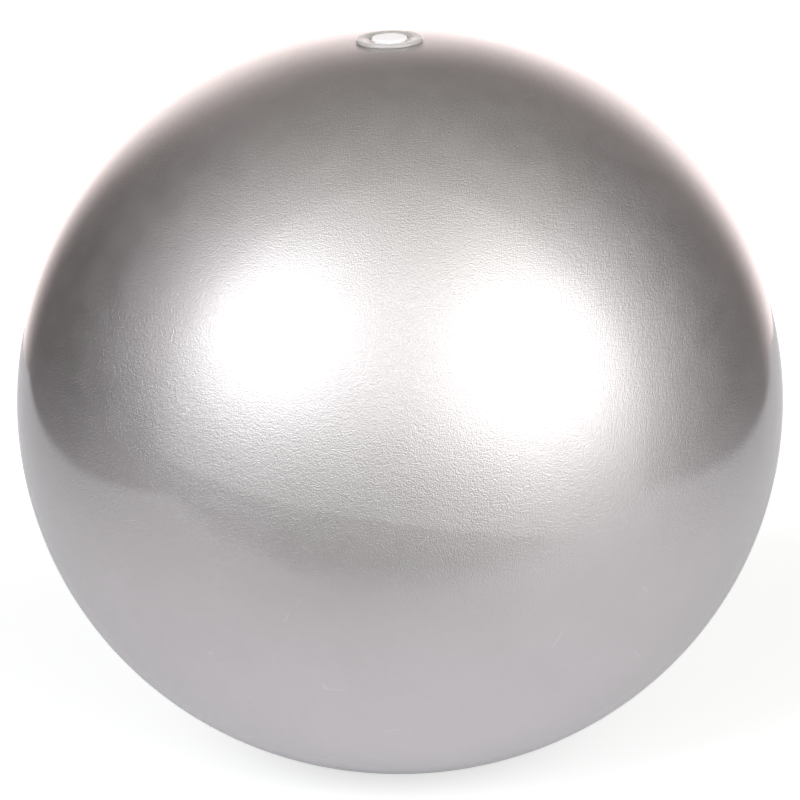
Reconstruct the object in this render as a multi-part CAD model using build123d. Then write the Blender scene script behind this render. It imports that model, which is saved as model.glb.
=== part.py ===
"""Inflatable exercise ball, 25 cm size: one hollow vinyl skin, a clear valve seat bonded into its top pole
and a push-in plug.

Units are millimetres. The valve axis is +Z, and the origin is the centre of the flat patch that the ball rests
on. Every piece is turned about the valve axis. The inflated skin is slightly oblate: a round belly, a flatter
cap that the stiffer valve seat makes at the top, and a flat patch where it rests. All its arcs are tangent, so
the inner face is the same outline moved in by the wall.
"""

from build123d import *

import os
from math import atan2, degrees, sqrt

# Ball, inflated and set down on a floor
BALL_RADIUS = 125.0  # at the equator
HALF_HEIGHT = 120.5  # centre to pole, before the ball is set down
CAP_RADIUS = 180.0  # curvature of the flatter cap round the valve
SINK = 2.0  # how far the soft skin settles onto the floor
PATCH_BLEND = 50.0  # curvature where the skin lifts off the floor
WALL = 0.7

# Valve seat, a clear insert that grips the edge of the skin in a groove
NECK_RADIUS = 9.0  # the hole in the skin
LIP_HEIGHT = 1.0  # top of the lip above the crown of the skin
LIP_ROOT_RADIUS = 10.25  # where the lip's fully rounded edge starts and ends
FLANGE_RADIUS = 12.6
FLANGE_DEPTH = 2.6  # flange's lower face below the crown
BARREL_RADIUS = 5.5
BARREL_DEPTH = 14.5  # barrel's inner end below the crown
BARREL_ROOT = 1.6  # rounding between flange and barrel
BORE_RADIUS = 2.5
BORE_MOUTH = 0.4  # lead-in at the top of the bore
DISH_RADIUS = 6.2  # flat floor of the recess that the plug's head stands in
DISH_MOUTH_RADIUS = 9.4  # where the recess's sloping side runs into the lip's top
DISH_DEPTH = 1.1

# Plug, a stopper with a ribbed shank
HEAD_RADIUS = 5.7
HEAD_THICKNESS = 1.4
HEAD_DOME = 0.2  # rise of the head's top face
HEAD_EDGE = 0.4
SEAL_CLEARANCE = 0.05  # radial, between ribs and bore
SHANK_LENGTH = 12.5
TIP_LENGTH = 3.0
TIP_RADIUS = 1.4
RIB_COUNT = 3
RIB_PITCH = 3.0
RIB_HEIGHT = 0.3
RIB_LENGTH = 1.0  # half of it a lead-in slope, half a straight sealing band

# Derived sizes and places
CENTRE_Z = HALF_HEIGHT - SINK
CROWN_Z = CENTRE_Z + HALF_HEIGHT
CAP_OFFSET = CAP_RADIUS - HALF_HEIGHT  # the cap's centre lies this far below the ball's centre
BELLY_RADIUS = (CAP_RADIUS**2 - BALL_RADIUS**2 - CAP_OFFSET**2) / (2 * (CAP_RADIUS - BALL_RADIUS))
BELLY_X = BALL_RADIUS - BELLY_RADIUS  # the belly arc's centre lies this far off the axis
CAP_ANGLE = degrees(atan2(BELLY_X, CAP_OFFSET))  # from the pole to where cap and belly meet
LIFT_X = sqrt((BELLY_RADIUS - PATCH_BLEND) ** 2 - (CENTRE_Z - PATCH_BLEND) ** 2)
LIFT_ANGLE = degrees(atan2(LIFT_X, CENTRE_Z - PATCH_BLEND))  # sweep of the blend from floor to belly
PATCH_RADIUS = BELLY_X + LIFT_X
LIP_TOP_Z = CROWN_Z + LIP_HEIGHT
DISH_Z = LIP_TOP_Z - DISH_DEPTH
RIB_RADIUS = BORE_RADIUS - SEAL_CLEARANCE
SHANK_RADIUS = RIB_RADIUS - RIB_HEIGHT


def turned(*lines):
    """The solid turned about Z by a closed outline in the X-Z plane."""
    outline = Wire([edge for line in lines for edge in line.edges()])
    return revolve(make_face(Plane.XZ * outline), Axis.Z)


def cap_height(radius, inset=0.0):
    """Height of the cap's surface at a distance from the axis, or of that surface moved in."""
    return CENTRE_Z - CAP_OFFSET + sqrt((CAP_RADIUS - inset) ** 2 - radius**2)


def along_cap(radius_from, radius_to, inset=0.0):
    """The stretch of the cap's outline between two distances from the axis."""
    radii = (radius_from, (radius_from + radius_to) / 2, radius_to)
    return ThreePointArc(*[(radius, cap_height(radius, inset)) for radius in radii])


def ball_volume(inset):
    """The whole ball as a solid, with its surface moved in."""
    belly_sweep = 180 - LIFT_ANGLE - CAP_ANGLE
    floor = Line((0, inset), (PATCH_RADIUS, inset))
    lift = CenterArc((PATCH_RADIUS, PATCH_BLEND), PATCH_BLEND - inset, -90, LIFT_ANGLE)
    belly = CenterArc((BELLY_X, CENTRE_Z), BELLY_RADIUS - inset, -90 + LIFT_ANGLE, belly_sweep)
    cap = CenterArc((0, CENTRE_Z - CAP_OFFSET), CAP_RADIUS - inset, 90 - CAP_ANGLE, CAP_ANGLE)
    axis = Line((0, CROWN_Z - inset), (0, inset))
    return turned(floor, lift, belly, cap, axis)


def ball_skin():
    """The rotationally moulded skin, with the hole that the valve seat's neck fills."""
    hole = Pos(0, 0, CROWN_Z) * Cylinder(NECK_RADIUS, 10 * WALL)
    return ball_volume(0) - ball_volume(WALL) - hole


def valve_seat():
    """The clear insert: its lip and flange hold the skin between them, and its barrel guides the plug."""
    barrel_end_z = CROWN_Z - BARREL_DEPTH
    flange_z = CROWN_Z - FLANGE_DEPTH
    bore = Polyline(
        (BARREL_RADIUS, barrel_end_z),
        (BORE_RADIUS, barrel_end_z),
        (BORE_RADIUS, DISH_Z - BORE_MOUTH),
        (BORE_RADIUS + BORE_MOUTH, DISH_Z),
        (DISH_RADIUS, DISH_Z),
    )
    dish_side = TangentArc((DISH_MOUTH_RADIUS, LIP_TOP_Z), (DISH_RADIUS, DISH_Z), tangent=(-1, 0))
    lip_top = Line((DISH_MOUTH_RADIUS, LIP_TOP_Z), (LIP_ROOT_RADIUS, LIP_TOP_Z))
    edge_radius = (LIP_TOP_Z - cap_height(LIP_ROOT_RADIUS)) / 2
    lip_edge = CenterArc((LIP_ROOT_RADIUS, LIP_TOP_Z - edge_radius), edge_radius, 90, -180)
    lip_underside = along_cap(LIP_ROOT_RADIUS, NECK_RADIUS)
    neck = Line((NECK_RADIUS, cap_height(NECK_RADIUS)), (NECK_RADIUS, cap_height(NECK_RADIUS, WALL)))
    flange_top = along_cap(NECK_RADIUS, FLANGE_RADIUS, WALL)
    flange = Polyline(
        (FLANGE_RADIUS, cap_height(FLANGE_RADIUS, WALL)),
        (FLANGE_RADIUS, flange_z),
        (BARREL_RADIUS + BARREL_ROOT, flange_z),
    )
    root = TangentArc(
        (BARREL_RADIUS + BARREL_ROOT, flange_z), (BARREL_RADIUS, flange_z - BARREL_ROOT), tangent=(-1, 0)
    )
    barrel = Line((BARREL_RADIUS, flange_z - BARREL_ROOT), (BARREL_RADIUS, barrel_end_z))
    lip = (dish_side, lip_top, lip_edge, lip_underside)
    return turned(bore, *lip, neck, flange_top, flange, root, barrel)


def plug_head():
    """The low domed button that sits in the seat's dish."""
    edge_z = DISH_Z + HEAD_THICKNESS - HEAD_DOME
    sides = Polyline((0, DISH_Z), (HEAD_RADIUS, DISH_Z), (HEAD_RADIUS, edge_z))
    dome = TangentArc((0, DISH_Z + HEAD_THICKNESS), (HEAD_RADIUS, edge_z), tangent=(1, 0))
    axis = Line((0, DISH_Z + HEAD_THICKNESS), (0, DISH_Z))
    head = turned(sides, dome, axis)
    return fillet(head.edges().filter_by(GeomType.CIRCLE), HEAD_EDGE)


def plug_shank():
    """The shank with its sealing ribs and tapered tip."""
    tip_z = DISH_Z - SHANK_LENGTH
    taper_z = tip_z + TIP_LENGTH
    root_z = DISH_Z + HEAD_EDGE
    points = [(0, root_z), (0, tip_z), (TIP_RADIUS, tip_z), (SHANK_RADIUS, taper_z)]
    for i in range(RIB_COUNT):
        rib_z = taper_z + RIB_LENGTH / 2 + i * RIB_PITCH
        points.append((SHANK_RADIUS, rib_z))
        points.append((RIB_RADIUS, rib_z + RIB_LENGTH / 2))
        points.append((RIB_RADIUS, rib_z + RIB_LENGTH))
        points.append((SHANK_RADIUS, rib_z + RIB_LENGTH))
    points.append((SHANK_RADIUS, root_z))
    return turned(Polyline(*points, close=True))


def main():
    parts = {
        "ball_skin": ball_skin(),
        "valve_seat": valve_seat(),
        "valve_plug": plug_head() + plug_shank(),
    }
    os.makedirs("parts", exist_ok=True)
    for name, shape in parts.items():
        export_step(shape, f"parts/{name}.step")
    print(f"flat patch radius {PATCH_RADIUS:.2f}, crown {CROWN_Z:.2f}, belly radius {BELLY_RADIUS:.2f}")


main()
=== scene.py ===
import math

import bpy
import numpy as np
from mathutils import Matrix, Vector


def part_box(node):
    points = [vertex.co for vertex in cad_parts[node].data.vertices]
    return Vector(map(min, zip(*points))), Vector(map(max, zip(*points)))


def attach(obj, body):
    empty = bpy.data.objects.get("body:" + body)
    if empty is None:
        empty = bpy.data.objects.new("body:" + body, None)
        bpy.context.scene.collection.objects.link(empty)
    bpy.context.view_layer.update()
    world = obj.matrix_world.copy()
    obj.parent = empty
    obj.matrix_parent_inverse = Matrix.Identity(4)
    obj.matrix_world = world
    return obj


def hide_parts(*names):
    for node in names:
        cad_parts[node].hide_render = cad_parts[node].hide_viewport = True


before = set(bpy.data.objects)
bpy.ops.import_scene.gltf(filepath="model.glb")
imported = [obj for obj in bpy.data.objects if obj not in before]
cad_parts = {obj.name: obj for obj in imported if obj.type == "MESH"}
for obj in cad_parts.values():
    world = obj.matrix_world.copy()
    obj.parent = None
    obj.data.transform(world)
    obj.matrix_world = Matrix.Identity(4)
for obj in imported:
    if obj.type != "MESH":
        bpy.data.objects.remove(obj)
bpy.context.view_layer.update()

# An inflatable exercise ball: a silver-grey vinyl skin with a fine leather grain, a clear valve seat and a
# white plug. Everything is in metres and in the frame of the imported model, with the valve axis on +Z.
#
# The photo is taken from -Y. The skin mirrors its surroundings, so most of the look is in the studio: a wide
# diffuser in front with two lamps behind it, a bright backdrop, and a table top, which the camera doesn't see.

# Outline of the skin: the equator comes from the frame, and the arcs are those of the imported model
SKIN_LOW, SKIN_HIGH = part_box("ball_skin")
BALL_RADIUS = (SKIN_HIGH.x - SKIN_LOW.x) / 2
HALF_HEIGHT = 0.1205
CAP_RADIUS = 0.180
SINK = 0.002
PATCH_BLEND = 0.050
SKIN_WALL = 0.0007
NECK_RADIUS = 0.009
CENTRE_Z = HALF_HEIGHT - SINK
CROWN_Z = CENTRE_Z + HALF_HEIGHT
CAP_OFFSET = CAP_RADIUS - HALF_HEIGHT
BELLY_RADIUS = (CAP_RADIUS**2 - BALL_RADIUS**2 - CAP_OFFSET**2) / (2 * (CAP_RADIUS - BALL_RADIUS))
BELLY_X = BALL_RADIUS - BELLY_RADIUS
CAP_ANGLE = math.atan2(BELLY_X, CAP_OFFSET)
LIFT_X = math.sqrt((BELLY_RADIUS - PATCH_BLEND) ** 2 - (CENTRE_Z - PATCH_BLEND) ** 2)
LIFT_ANGLE = math.atan2(LIFT_X, CENTRE_Z - PATCH_BLEND)
PATCH_RADIUS = BELLY_X + LIFT_X

# Valve seat
LIP_ROOT_RADIUS = 0.01025
LIP_TOP_Z = CROWN_Z + 0.0010
DISH_RADIUS = 0.0062
DISH_MOUTH_RADIUS = 0.0094
DISH_Z = LIP_TOP_Z - 0.0011
FLANGE_RADIUS = 0.0126
FLANGE_Z = CROWN_Z - 0.0026
BARREL_RADIUS = 0.0055
BARREL_Z = CROWN_Z - 0.0145
BARREL_ROOT = 0.0016
BORE_RADIUS = 0.0025
BORE_MOUTH = 0.0004
SEAT_GAP = 0.00005  # between the seat and the skin where they lie face to face

# Mesh fineness
TURN_STEPS = 256
SEAT_TURN_STEPS = 128
OUTER_BELLY_STEPS = 140
INNER_BELLY_STEPS = 60
SHARP_ANGLE = math.radians(35)
QUARTER = math.pi / 2

# Skin finish: scales are features per metre, and depths are in metres
SILVER_DARK, SILVER_LIGHT = (0.568, 0.538, 0.543), (0.582, 0.552, 0.557)
MOTTLE_SCALE = 45
SKIN_METALLIC = 0.9
SKIN_ROUGHNESS, WEAR = 0.45, 0.02
WEAR_SCALE = 120
COAT_ROUGHNESS, COAT_IOR = 0.06, 1.8
GRAIN_SCALE, GRAIN_DEPTH = 2250, 0.00019
PEBBLE_SCALE, PEBBLE_DEPTH = 700, 0.00007
SCUFF_COLOUR, SCUFF_STRENGTH = (0.74, 0.72, 0.72), 0.4
SCUFF_SCALE, SCUFF_WIDTH, SCUFF_PATCH_SCALE = 30, 0.012, 90

# Seat finish
HAZE_DARK, HAZE_LIGHT = (0.97, 0.875, 0.84), (0.985, 0.90, 0.875)
HAZE_SCALE = 260
SEAT_ROUGHNESS, SEAT_ROUGHNESS_SCALE = (0.03, 0.08), 700
SEAT_RIPPLE_SCALE, SEAT_RIPPLE_DEPTH = 450, 0.00005
SEAT_TRANSMISSION, SEAT_IOR = 0.5, 1.53
SEAT_SCATTER_DEPTH = 0.0015

# Plug finish
WHITE_DARK, WHITE_LIGHT = (0.92, 0.91, 0.935), (0.95, 0.94, 0.96)
CLOUD_SCALE = 300
PLUG_ROUGHNESS, PLUG_ROUGHNESS_SCALE = (0.32, 0.40), 900
PLUG_TEXTURE_SCALE, PLUG_TEXTURE_DEPTH = 1100, 0.00002

# Camera
CAMERA_DISTANCE = 1.50
CAMERA_ELEVATION = math.radians(17.6)
CAMERA_ROLL = math.radians(1.68)
CAMERA_LENS = 0.2062  # focal length on the 36 mm sensor
SENSOR = 0.036

# Studio lights, as directions seen from the ball: angles in degrees, with azimuths from the camera's side and
# growing to the right, except on the backdrop, where they are from the far side. Lights are radiances.
FRONT_LEFT, FRONT_RIGHT, FRONT_SOFT = -75, 75, 6
FRONT_LOW, FRONT_SLANT = -19, 0.17  # lower edge, and how much it falls to the right
FRONT_EDGE_SOFT = 0.5
FRONT_TOP, FRONT_FADE = 80, 25
FRONT_LIGHT = (0.606, 0.631, 0.602)
LAMPS = (  # azimuth, elevation, spread across, spread up, light
    (-45, 34.5, 12.5, 13.5, (6.01, 6.02, 6.26)),
    (45, 25, 15.5, 16.5, (5.01, 4.96, 4.96)),
)
BACKDROP_LEFT, BACKDROP_RIGHT, BACKDROP_SOFT = -25, 31, 12.5
BACKDROP_LOW, BACKDROP_LOW_FADE = -24, 2
BACKDROP_TOP, BACKDROP_FADE = 19.5, 17
BACKDROP_SLANT, BACKDROP_DIP = 0.15, 0.05  # the top falls to the right, and dips in the middle
BACKDROP_LIGHT = (1.62, 1.42, 1.39)
ROOM_LOW, ROOM_HIGH = 25, 75
ROOM_LIGHT = (0.244, 0.242, 0.216)
FILL_LIGHT = (0.010, 0.004, 0.002)
SEEN_WORLD = (0.93, 0.93, 0.93)

# Table top and floor
TABLE_LEFT, TABLE_RIGHT = -0.50, 0.44
TABLE_FRONT, TABLE_BACK = -0.255, 0.55
TABLE_SOFT = 0.045
TABLE_COLOUR, TABLE_GLOW = (0.62, 0.605, 0.64), (0.126, 0.138, 0.133)
FLOOR_REACH, FLOOR_Z = 12.0, -0.0002
FLOOR_COLOUR, FLOOR_FRONT_COLOUR = (0.9, 0.9, 0.9), (0.56, 0.56, 0.56)
FLOOR_GLOW = 0.5
FLOOR_DIM_START, FLOOR_DIM_END = -0.15, -0.9
CARD_ROUGHNESS = 0.9


# ---------------------------------------------------------------- mesh helpers

def arc(centre, radius, start, end, steps):
    """Points on a circular arc in the radius-height plane; angles from the radius axis, anticlockwise."""
    angles = np.linspace(start, end, steps + 1)
    return [(centre[0] + radius * math.cos(t), centre[1] + radius * math.sin(t)) for t in angles]


def ring_faces(low, high, steps):
    """Faces between two neighbouring rings, either of which may be a single point on the axis."""
    if len(low) == 1 and len(high) == 1:
        return []
    faces = []
    for i in range(steps):
        j = (i + 1) % steps
        if len(low) == 1:
            faces.append((low[0], high[j], high[i]))
        elif len(high) == 1:
            faces.append((low[i], low[j], high[0]))
        else:
            faces.append((low[i], low[j], high[j], high[i]))
    return faces


def turned(name, outline, steps):
    """A closed mesh turned about Z from a closed outline of (radius, height) points."""
    rings, vertices = [], []
    for radius, height in outline:
        on_axis = radius < 1e-7
        angles = [0.0] if on_axis else [2 * math.pi * i / steps for i in range(steps)]
        reach = 0.0 if on_axis else radius
        rings.append(list(range(len(vertices), len(vertices) + len(angles))))
        vertices += [(reach * math.cos(t), reach * math.sin(t), height) for t in angles]
    faces = []
    for low, high in zip(rings, rings[1:] + rings[:1]):
        faces += ring_faces(low, high, steps)
    mesh = bpy.data.meshes.new(name)
    mesh.from_pydata(vertices, [], faces)
    mesh.polygons.foreach_set("use_smooth", [True] * len(mesh.polygons))
    mesh.set_sharp_from_angle(angle=SHARP_ANGLE)
    mesh.update()
    piece = bpy.data.objects.new(name, mesh)
    bpy.context.scene.collection.objects.link(piece)
    return piece


def cap_height(radius, inset=0.0):
    """Height of the cap's surface at a distance from the axis, or of that surface moved in."""
    return CENTRE_Z - CAP_OFFSET + math.sqrt((CAP_RADIUS - inset) ** 2 - radius**2)


# ---------------------------------------------------------------- pieces

def skin_outline(inset, belly_steps):
    """The skin's surface from the hole at the top to the bottom pole, moved in by inset."""
    cap = CAP_RADIUS - inset
    hole_angle = math.asin(NECK_RADIUS / cap)
    lift_start = LIFT_ANGLE - QUARTER
    points = arc((0, CENTRE_Z - CAP_OFFSET), cap, QUARTER - hole_angle, QUARTER - CAP_ANGLE, 3)
    points += arc((BELLY_X, CENTRE_Z), BELLY_RADIUS - inset, QUARTER - CAP_ANGLE, lift_start, belly_steps)[1:]
    points += arc((PATCH_RADIUS, PATCH_BLEND), PATCH_BLEND - inset, lift_start, -QUARTER, 8)[1:]
    points += [(PATCH_RADIUS * (1 - i / 4), inset) for i in range(1, 5)]
    return points


def make_skin():
    outer = skin_outline(0.0, OUTER_BELLY_STEPS)
    inner = skin_outline(SKIN_WALL, INNER_BELLY_STEPS)
    return turned("ball_skin_vinyl", outer[::-1] + inner, TURN_STEPS)


def make_seat():
    bore = [(BORE_RADIUS, BARREL_Z), (BORE_RADIUS, DISH_Z - BORE_MOUTH), (BORE_RADIUS + BORE_MOUTH, DISH_Z)]
    run, fall = DISH_MOUTH_RADIUS - DISH_RADIUS, LIP_TOP_Z - DISH_Z
    bend = (run**2 + fall**2) / (2 * fall)
    dish_start = QUARTER + math.asin(run / bend)
    dish_side = arc((DISH_MOUTH_RADIUS, LIP_TOP_Z - bend), bend, dish_start, QUARTER, 12)
    edge_radius = (LIP_TOP_Z - cap_height(LIP_ROOT_RADIUS)) / 2
    lip_edge = arc((LIP_ROOT_RADIUS, LIP_TOP_Z - edge_radius), edge_radius, QUARTER, -QUARTER, 16)
    neck = [(NECK_RADIUS, cap_height(NECK_RADIUS) - SEAT_GAP)]
    neck += [(NECK_RADIUS, cap_height(NECK_RADIUS, SKIN_WALL) + SEAT_GAP)]
    flange = [(FLANGE_RADIUS, cap_height(FLANGE_RADIUS, SKIN_WALL) + SEAT_GAP), (FLANGE_RADIUS, FLANGE_Z)]
    root_centre = (BARREL_RADIUS + BARREL_ROOT, FLANGE_Z - BARREL_ROOT)
    root = arc(root_centre, BARREL_ROOT, QUARTER, 2 * QUARTER, 8)
    barrel_end = [(BARREL_RADIUS, BARREL_Z)]
    outline = bore + dish_side + lip_edge + neck + flange + root + barrel_end
    return turned("valve_seat_clear", outline[::-1], SEAT_TURN_STEPS)


# ---------------------------------------------------------------- shader nodes

class Tree:
    """Shorthand for building one node tree. A value is a number, a colour or another node's socket."""

    def __init__(self, tree):
        self.nodes, self.links = tree.nodes, tree.links

    def feed(self, socket, value):
        if isinstance(value, (int, float)):
            socket.default_value = value
        elif isinstance(value, tuple):
            socket.default_value = (*value, 1)
        else:
            self.links.new(value, socket)

    def coordinates(self, kind):
        return self.nodes.new("ShaderNodeTexCoord").outputs[kind]

    def split(self, vector):
        node = self.nodes.new("ShaderNodeSeparateXYZ")
        self.links.new(vector, node.inputs[0])
        return node.outputs

    def noise(self, where, scale, detail):
        """Noise from 0 to 1 with features about 1/scale metres across."""
        node = self.nodes.new("ShaderNodeTexNoise")
        self.feed(node.inputs["Vector"], where)
        node.inputs["Scale"].default_value = scale
        node.inputs["Detail"].default_value = detail
        return node.outputs["Fac"]

    def spread(self, value, low=0.0, high=1.0, start=0.3, end=0.7):
        """Maps start..end of a value smoothly to low..high."""
        node = self.nodes.new("ShaderNodeMapRange")
        node.interpolation_type = "SMOOTHSTEP"
        self.feed(node.inputs["Value"], value)
        for name, number in (("From Min", start), ("From Max", end), ("To Min", low), ("To Max", high)):
            node.inputs[name].default_value = number
        return node.outputs["Result"]

    def blend(self, amount, first, second):
        """A colour between two, by an amount from 0 to 1."""
        node = self.nodes.new("ShaderNodeMix")
        node.data_type = "RGBA"
        self.feed(node.inputs["Factor"], amount)
        self.feed(node.inputs["A"], first)
        self.feed(node.inputs["B"], second)
        return node.outputs["Result"]

    def maths(self, operation, *values):
        node = self.nodes.new("ShaderNodeMath")
        node.operation = operation
        for socket, value in zip(node.inputs, values):
            self.feed(socket, value)
        return node.outputs[0]

    def add(self, first, second):
        return self.maths("ADD", first, second)

    def subtract(self, first, second):
        return self.maths("SUBTRACT", first, second)

    def multiply(self, first, second):
        return self.maths("MULTIPLY", first, second)

    def between(self, value, low, high, soft):
        """1 where a value is between two limits, with soft edges."""
        above = self.spread(value, start=low - soft, end=low + soft)
        below = self.subtract(1.0, self.spread(value, start=high - soft, end=high + soft))
        return self.multiply(above, below)

    def bump(self, height, depth, under=None):
        node = self.nodes.new("ShaderNodeBump")
        self.feed(node.inputs["Height"], height)
        node.inputs["Distance"].default_value = depth
        if under is not None:
            self.feed(node.inputs["Normal"], under)
        return node.outputs["Normal"]


def new_material(name):
    material = bpy.data.materials.new(name)
    material.use_nodes = True
    return material, Tree(material.node_tree), material.node_tree.nodes["Principled BSDF"].inputs


# ---------------------------------------------------------------- materials

def skin_material():
    material, tree, shader = new_material("silver_vinyl")
    where = tree.coordinates("Object")

    # Silver pigment, hardly uneven, with a few pale hairline scuffs
    silver = tree.blend(tree.spread(tree.noise(where, MOTTLE_SCALE, 3)), SILVER_DARK, SILVER_LIGHT)
    cells = tree.nodes.new("ShaderNodeTexVoronoi")
    cells.feature = "DISTANCE_TO_EDGE"
    tree.feed(cells.inputs["Vector"], where)
    cells.inputs["Scale"].default_value = SCUFF_SCALE
    hairline = tree.spread(cells.outputs["Distance"], 1, 0, 0.0, SCUFF_WIDTH)
    patches = tree.spread(tree.noise(where, SCUFF_PATCH_SCALE, 1), 0, 1, 0.64, 0.68)
    scuffs = tree.multiply(tree.multiply(hairline, patches), SCUFF_STRENGTH)
    tree.feed(shader["Base Color"], tree.blend(scuffs, silver, SCUFF_COLOUR))
    wear = tree.spread(tree.noise(where, WEAR_SCALE, 3), SKIN_ROUGHNESS - WEAR, SKIN_ROUGHNESS + WEAR)
    tree.feed(shader["Roughness"], wear)

    # Fine leather grain, and a much fainter pebble under it
    pebble = tree.bump(tree.noise(where, PEBBLE_SCALE, 1), PEBBLE_DEPTH)
    tree.feed(shader["Normal"], tree.bump(tree.noise(where, GRAIN_SCALE, 1.5), GRAIN_DEPTH, pebble))
    shader["Metallic"].default_value = SKIN_METALLIC
    shader["Coat Weight"].default_value = 1.0
    shader["Coat Roughness"].default_value = COAT_ROUGHNESS
    shader["Coat IOR"].default_value = COAT_IOR
    return material


def seat_material():
    material, tree, shader = new_material("clear_vinyl")
    where = tree.coordinates("Object")
    haze = tree.spread(tree.noise(where, HAZE_SCALE, 2))
    tree.feed(shader["Base Color"], tree.blend(haze, HAZE_DARK, HAZE_LIGHT))
    tree.feed(shader["Roughness"], tree.spread(tree.noise(where, SEAT_ROUGHNESS_SCALE, 2), *SEAT_ROUGHNESS))
    tree.feed(shader["Normal"], tree.bump(tree.noise(where, SEAT_RIPPLE_SCALE, 2), SEAT_RIPPLE_DEPTH))
    shader["Transmission Weight"].default_value = SEAT_TRANSMISSION
    shader["IOR"].default_value = SEAT_IOR
    shader["Subsurface Weight"].default_value = 1.0
    shader["Subsurface Radius"].default_value = (1.0, 1.0, 1.0)
    shader["Subsurface Scale"].default_value = SEAT_SCATTER_DEPTH
    return material


def plug_material():
    material, tree, shader = new_material("white_plug")
    where = tree.coordinates("Object")
    cloud = tree.spread(tree.noise(where, CLOUD_SCALE, 2))
    tree.feed(shader["Base Color"], tree.blend(cloud, WHITE_DARK, WHITE_LIGHT))
    tree.feed(shader["Roughness"], tree.spread(tree.noise(where, PLUG_ROUGHNESS_SCALE, 2), *PLUG_ROUGHNESS))
    tree.feed(shader["Normal"], tree.bump(tree.noise(where, PLUG_TEXTURE_SCALE, 2), PLUG_TEXTURE_DEPTH))
    return material


# ---------------------------------------------------------------- studio lights

def front_lights(tree, azimuth, elevation):
    """The diffuser in front, whose lower edge slants, and the glow of the lamps behind it."""
    low, soft = math.radians(FRONT_LOW), math.radians(FRONT_EDGE_SOFT)
    over_edge = tree.add(elevation, tree.multiply(azimuth, FRONT_SLANT))
    front = tree.spread(over_edge, start=low - soft, end=low + soft)
    across = tree.between(azimuth, *[math.radians(a) for a in (FRONT_LEFT, FRONT_RIGHT, FRONT_SOFT)])
    fade_start, fade_end = math.radians(FRONT_TOP - FRONT_FADE), math.radians(FRONT_TOP + FRONT_FADE)
    overhead = tree.spread(elevation, start=fade_start, end=fade_end)
    across = tree.multiply(across, tree.subtract(1.0, overhead))
    lights = [(tree.multiply(across, front), FRONT_LIGHT)]
    for lamp in LAMPS:
        lamp_azimuth, lamp_elevation, width, height = [math.radians(a) for a in lamp[:4]]
        off_across = tree.multiply(tree.subtract(azimuth, lamp_azimuth), math.cos(lamp_elevation) / width)
        off_up = tree.multiply(tree.subtract(elevation, lamp_elevation), 1 / height)
        off = tree.add(tree.maths("POWER", off_across, 2.0), tree.maths("POWER", off_up, 2.0))
        glow = tree.maths("EXPONENT", tree.multiply(off, -0.5))
        lights.append((tree.multiply(glow, front), lamp[4]))
    return lights


def backdrop_light(tree, azimuth, elevation):
    """The bright backdrop on the far side of the ball, which fades out upwards."""
    limits = (BACKDROP_LEFT, BACKDROP_RIGHT, BACKDROP_SOFT)
    across = tree.between(azimuth, *[math.radians(a) for a in limits])
    height = tree.add(elevation, tree.multiply(azimuth, BACKDROP_SLANT))
    height = tree.subtract(height, tree.multiply(tree.maths("ABSOLUTE", azimuth), BACKDROP_DIP))
    fade_start = math.radians(BACKDROP_TOP - BACKDROP_FADE)
    fade_end = math.radians(BACKDROP_TOP + BACKDROP_FADE)
    below_top = tree.subtract(1.0, tree.spread(height, start=fade_start, end=fade_end))
    low_start = math.radians(BACKDROP_LOW - BACKDROP_LOW_FADE)
    low_end = math.radians(BACKDROP_LOW + BACKDROP_LOW_FADE)
    above_low = tree.spread(elevation, start=low_start, end=low_end)
    return tree.multiply(across, tree.multiply(below_top, above_low)), BACKDROP_LIGHT


def room_light(tree, elevation):
    """The dim room overhead."""
    return tree.spread(elevation, start=math.radians(ROOM_LOW), end=math.radians(ROOM_HIGH)), ROOM_LIGHT


def sum_of(tree, lights):
    """The fill light plus every light's colour times its amount."""
    total = None
    for amount, colour in lights:
        scaled = tree.nodes.new("ShaderNodeVectorMath")
        scaled.operation = "SCALE"
        scaled.inputs[0].default_value = colour
        tree.feed(scaled.inputs["Scale"], amount)
        added = tree.nodes.new("ShaderNodeVectorMath")
        added.inputs[0].default_value = FILL_LIGHT
        if total is not None:
            tree.feed(added.inputs[0], total)
        tree.feed(added.inputs[1], scaled.outputs[0])
        total = added.outputs[0]
    return total


def studio_world():
    """The lights for everything but the camera, which sees a plain pale world."""
    world = bpy.data.worlds.new("studio")
    bpy.context.scene.world = world
    world.use_nodes = True
    tree = Tree(world.node_tree)
    tree.nodes.clear()
    x, y, z = tree.split(tree.coordinates("Generated"))
    elevation = tree.maths("ARCSINE", z)
    from_camera_side = tree.maths("ARCTAN2", x, tree.multiply(y, -1.0))
    from_far_side = tree.maths("ARCTAN2", x, y)
    lights = front_lights(tree, from_camera_side, elevation)
    lights.append(backdrop_light(tree, from_far_side, elevation))
    lights.append(room_light(tree, elevation))

    radiance, pale = tree.nodes.new("ShaderNodeBackground"), tree.nodes.new("ShaderNodeBackground")
    tree.feed(radiance.inputs["Color"], sum_of(tree, lights))
    tree.feed(pale.inputs["Color"], SEEN_WORLD)
    mix = tree.nodes.new("ShaderNodeMixShader")
    seen = tree.nodes.new("ShaderNodeLightPath").outputs["Is Camera Ray"]
    for socket, value in zip(mix.inputs, (seen, radiance.outputs[0], pale.outputs[0])):
        tree.feed(socket, value)
    out = tree.nodes.new("ShaderNodeOutputWorld")
    tree.feed(out.inputs["Surface"], mix.outputs[0])


# ---------------------------------------------------------------- table top, floor and camera

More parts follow.
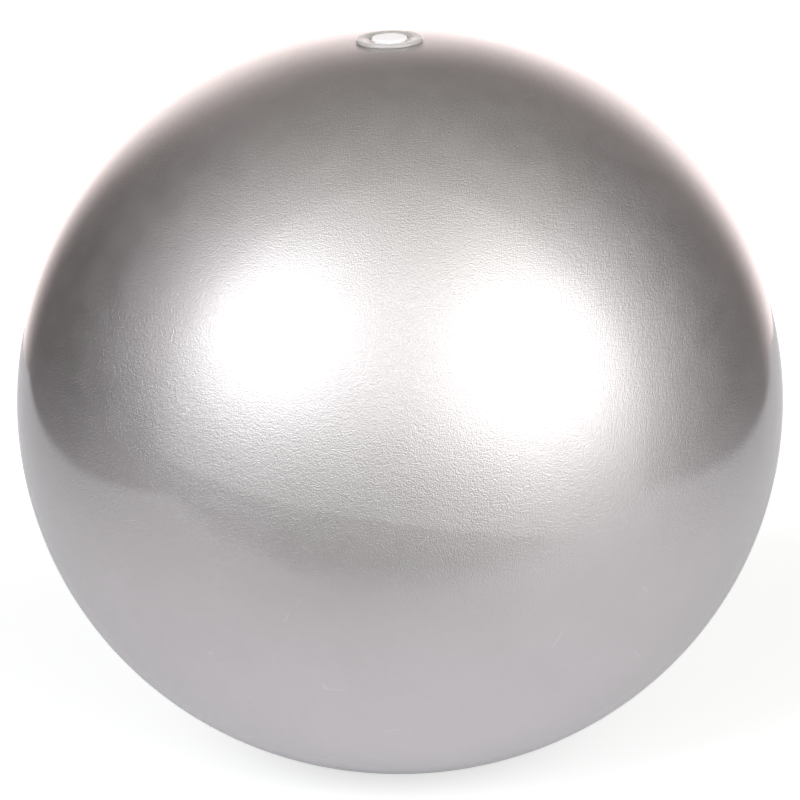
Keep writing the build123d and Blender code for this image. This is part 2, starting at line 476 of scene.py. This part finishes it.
def card(name, corners, colour, glow):
    """A flat sheet of the studio."""
    mesh = bpy.data.meshes.new(name)
    mesh.from_pydata(corners, [], [(0, 1, 2, 3)])
    sheet = bpy.data.objects.new(name, mesh)
    bpy.context.scene.collection.objects.link(sheet)
    material, tree, shader = new_material(name)
    tree.feed(shader["Base Color"], colour)
    tree.feed(shader["Emission Color"], glow)
    shader["Emission Strength"].default_value = 1.0
    shader["Roughness"].default_value = CARD_ROUGHNESS
    shader["Specular IOR Level"].default_value = 0.0
    mesh.materials.append(material)
    return sheet, tree, shader


def make_floor():
    """A pale floor that only the camera sees. It fades to grey in front, where it is the background of the
    views from behind, so that the ball's bright rim stands out from it."""
    signs = ((-1, -1), (1, -1), (1, 1), (-1, 1))
    corners = [(x * FLOOR_REACH, y * FLOOR_REACH, FLOOR_Z) for x, y in signs]
    floor, tree, shader = card("floor", corners, FLOOR_COLOUR, (1.0, 1.0, 1.0))
    y = tree.split(tree.coordinates("Object"))[1]
    bright = tree.spread(y, 0, 1, FLOOR_DIM_END, FLOOR_DIM_START)
    tree.feed(shader["Base Color"], tree.blend(bright, FLOOR_FRONT_COLOUR, FLOOR_COLOUR))
    tree.feed(shader["Emission Strength"], tree.multiply(bright, FLOOR_GLOW))
    floor.visible_diffuse = False
    floor.visible_glossy = False
    floor.visible_transmission = False
    floor.visible_shadow = False


def make_table():
    """The table top that the skin mirrors, faded out across its front, left and right edges."""
    left, right = TABLE_LEFT - TABLE_SOFT, TABLE_RIGHT + TABLE_SOFT
    front = TABLE_FRONT - TABLE_SOFT
    corners = [(left, front, 0), (right, front, 0), (right, TABLE_BACK, 0), (left, TABLE_BACK, 0)]
    table, tree, shader = card("table", corners, TABLE_COLOUR, TABLE_GLOW)
    x, y, z = tree.split(tree.coordinates("Object"))
    inside = tree.spread(y, 0, 1, TABLE_FRONT - TABLE_SOFT, TABLE_FRONT + TABLE_SOFT)
    for low, high, edge in ((0, 1, TABLE_LEFT), (1, 0, TABLE_RIGHT)):
        inside = tree.multiply(inside, tree.spread(x, low, high, edge - TABLE_SOFT, edge + TABLE_SOFT))
    tree.feed(shader["Alpha"], inside)
    table.visible_camera = False
    table.visible_shadow = False


def make_camera():
    data = bpy.data.cameras.new("camera")
    data.sensor_width = SENSOR * 1000
    data.lens = CAMERA_LENS * 1000
    camera = bpy.data.objects.new("camera", data)
    bpy.context.scene.collection.objects.link(camera)
    back = Vector((0, -math.cos(CAMERA_ELEVATION), math.sin(CAMERA_ELEVATION)))
    place = Vector((0, 0, CENTRE_Z)) + back * CAMERA_DISTANCE
    turn = (-back).to_track_quat("-Z", "Y").to_matrix().to_4x4() @ Matrix.Rotation(-CAMERA_ROLL, 4, "Z")
    camera.matrix_world = Matrix.Translation(place) @ turn
    bpy.context.scene.camera = camera


def main():
    make_camera()
    studio_world()
    make_floor()
    make_table()
    bpy.context.scene.view_settings.view_transform = "Standard"

    skin = make_skin()
    skin.data.materials.append(skin_material())
    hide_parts("ball_skin")
    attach(skin, "ball")

    seat = make_seat()
    seat.data.materials.append(seat_material())
    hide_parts("valve_seat")
    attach(seat, "ball")

    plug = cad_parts["valve_plug"]
    plug.data.materials.clear()
    plug.data.materials.append(plug_material())


main()
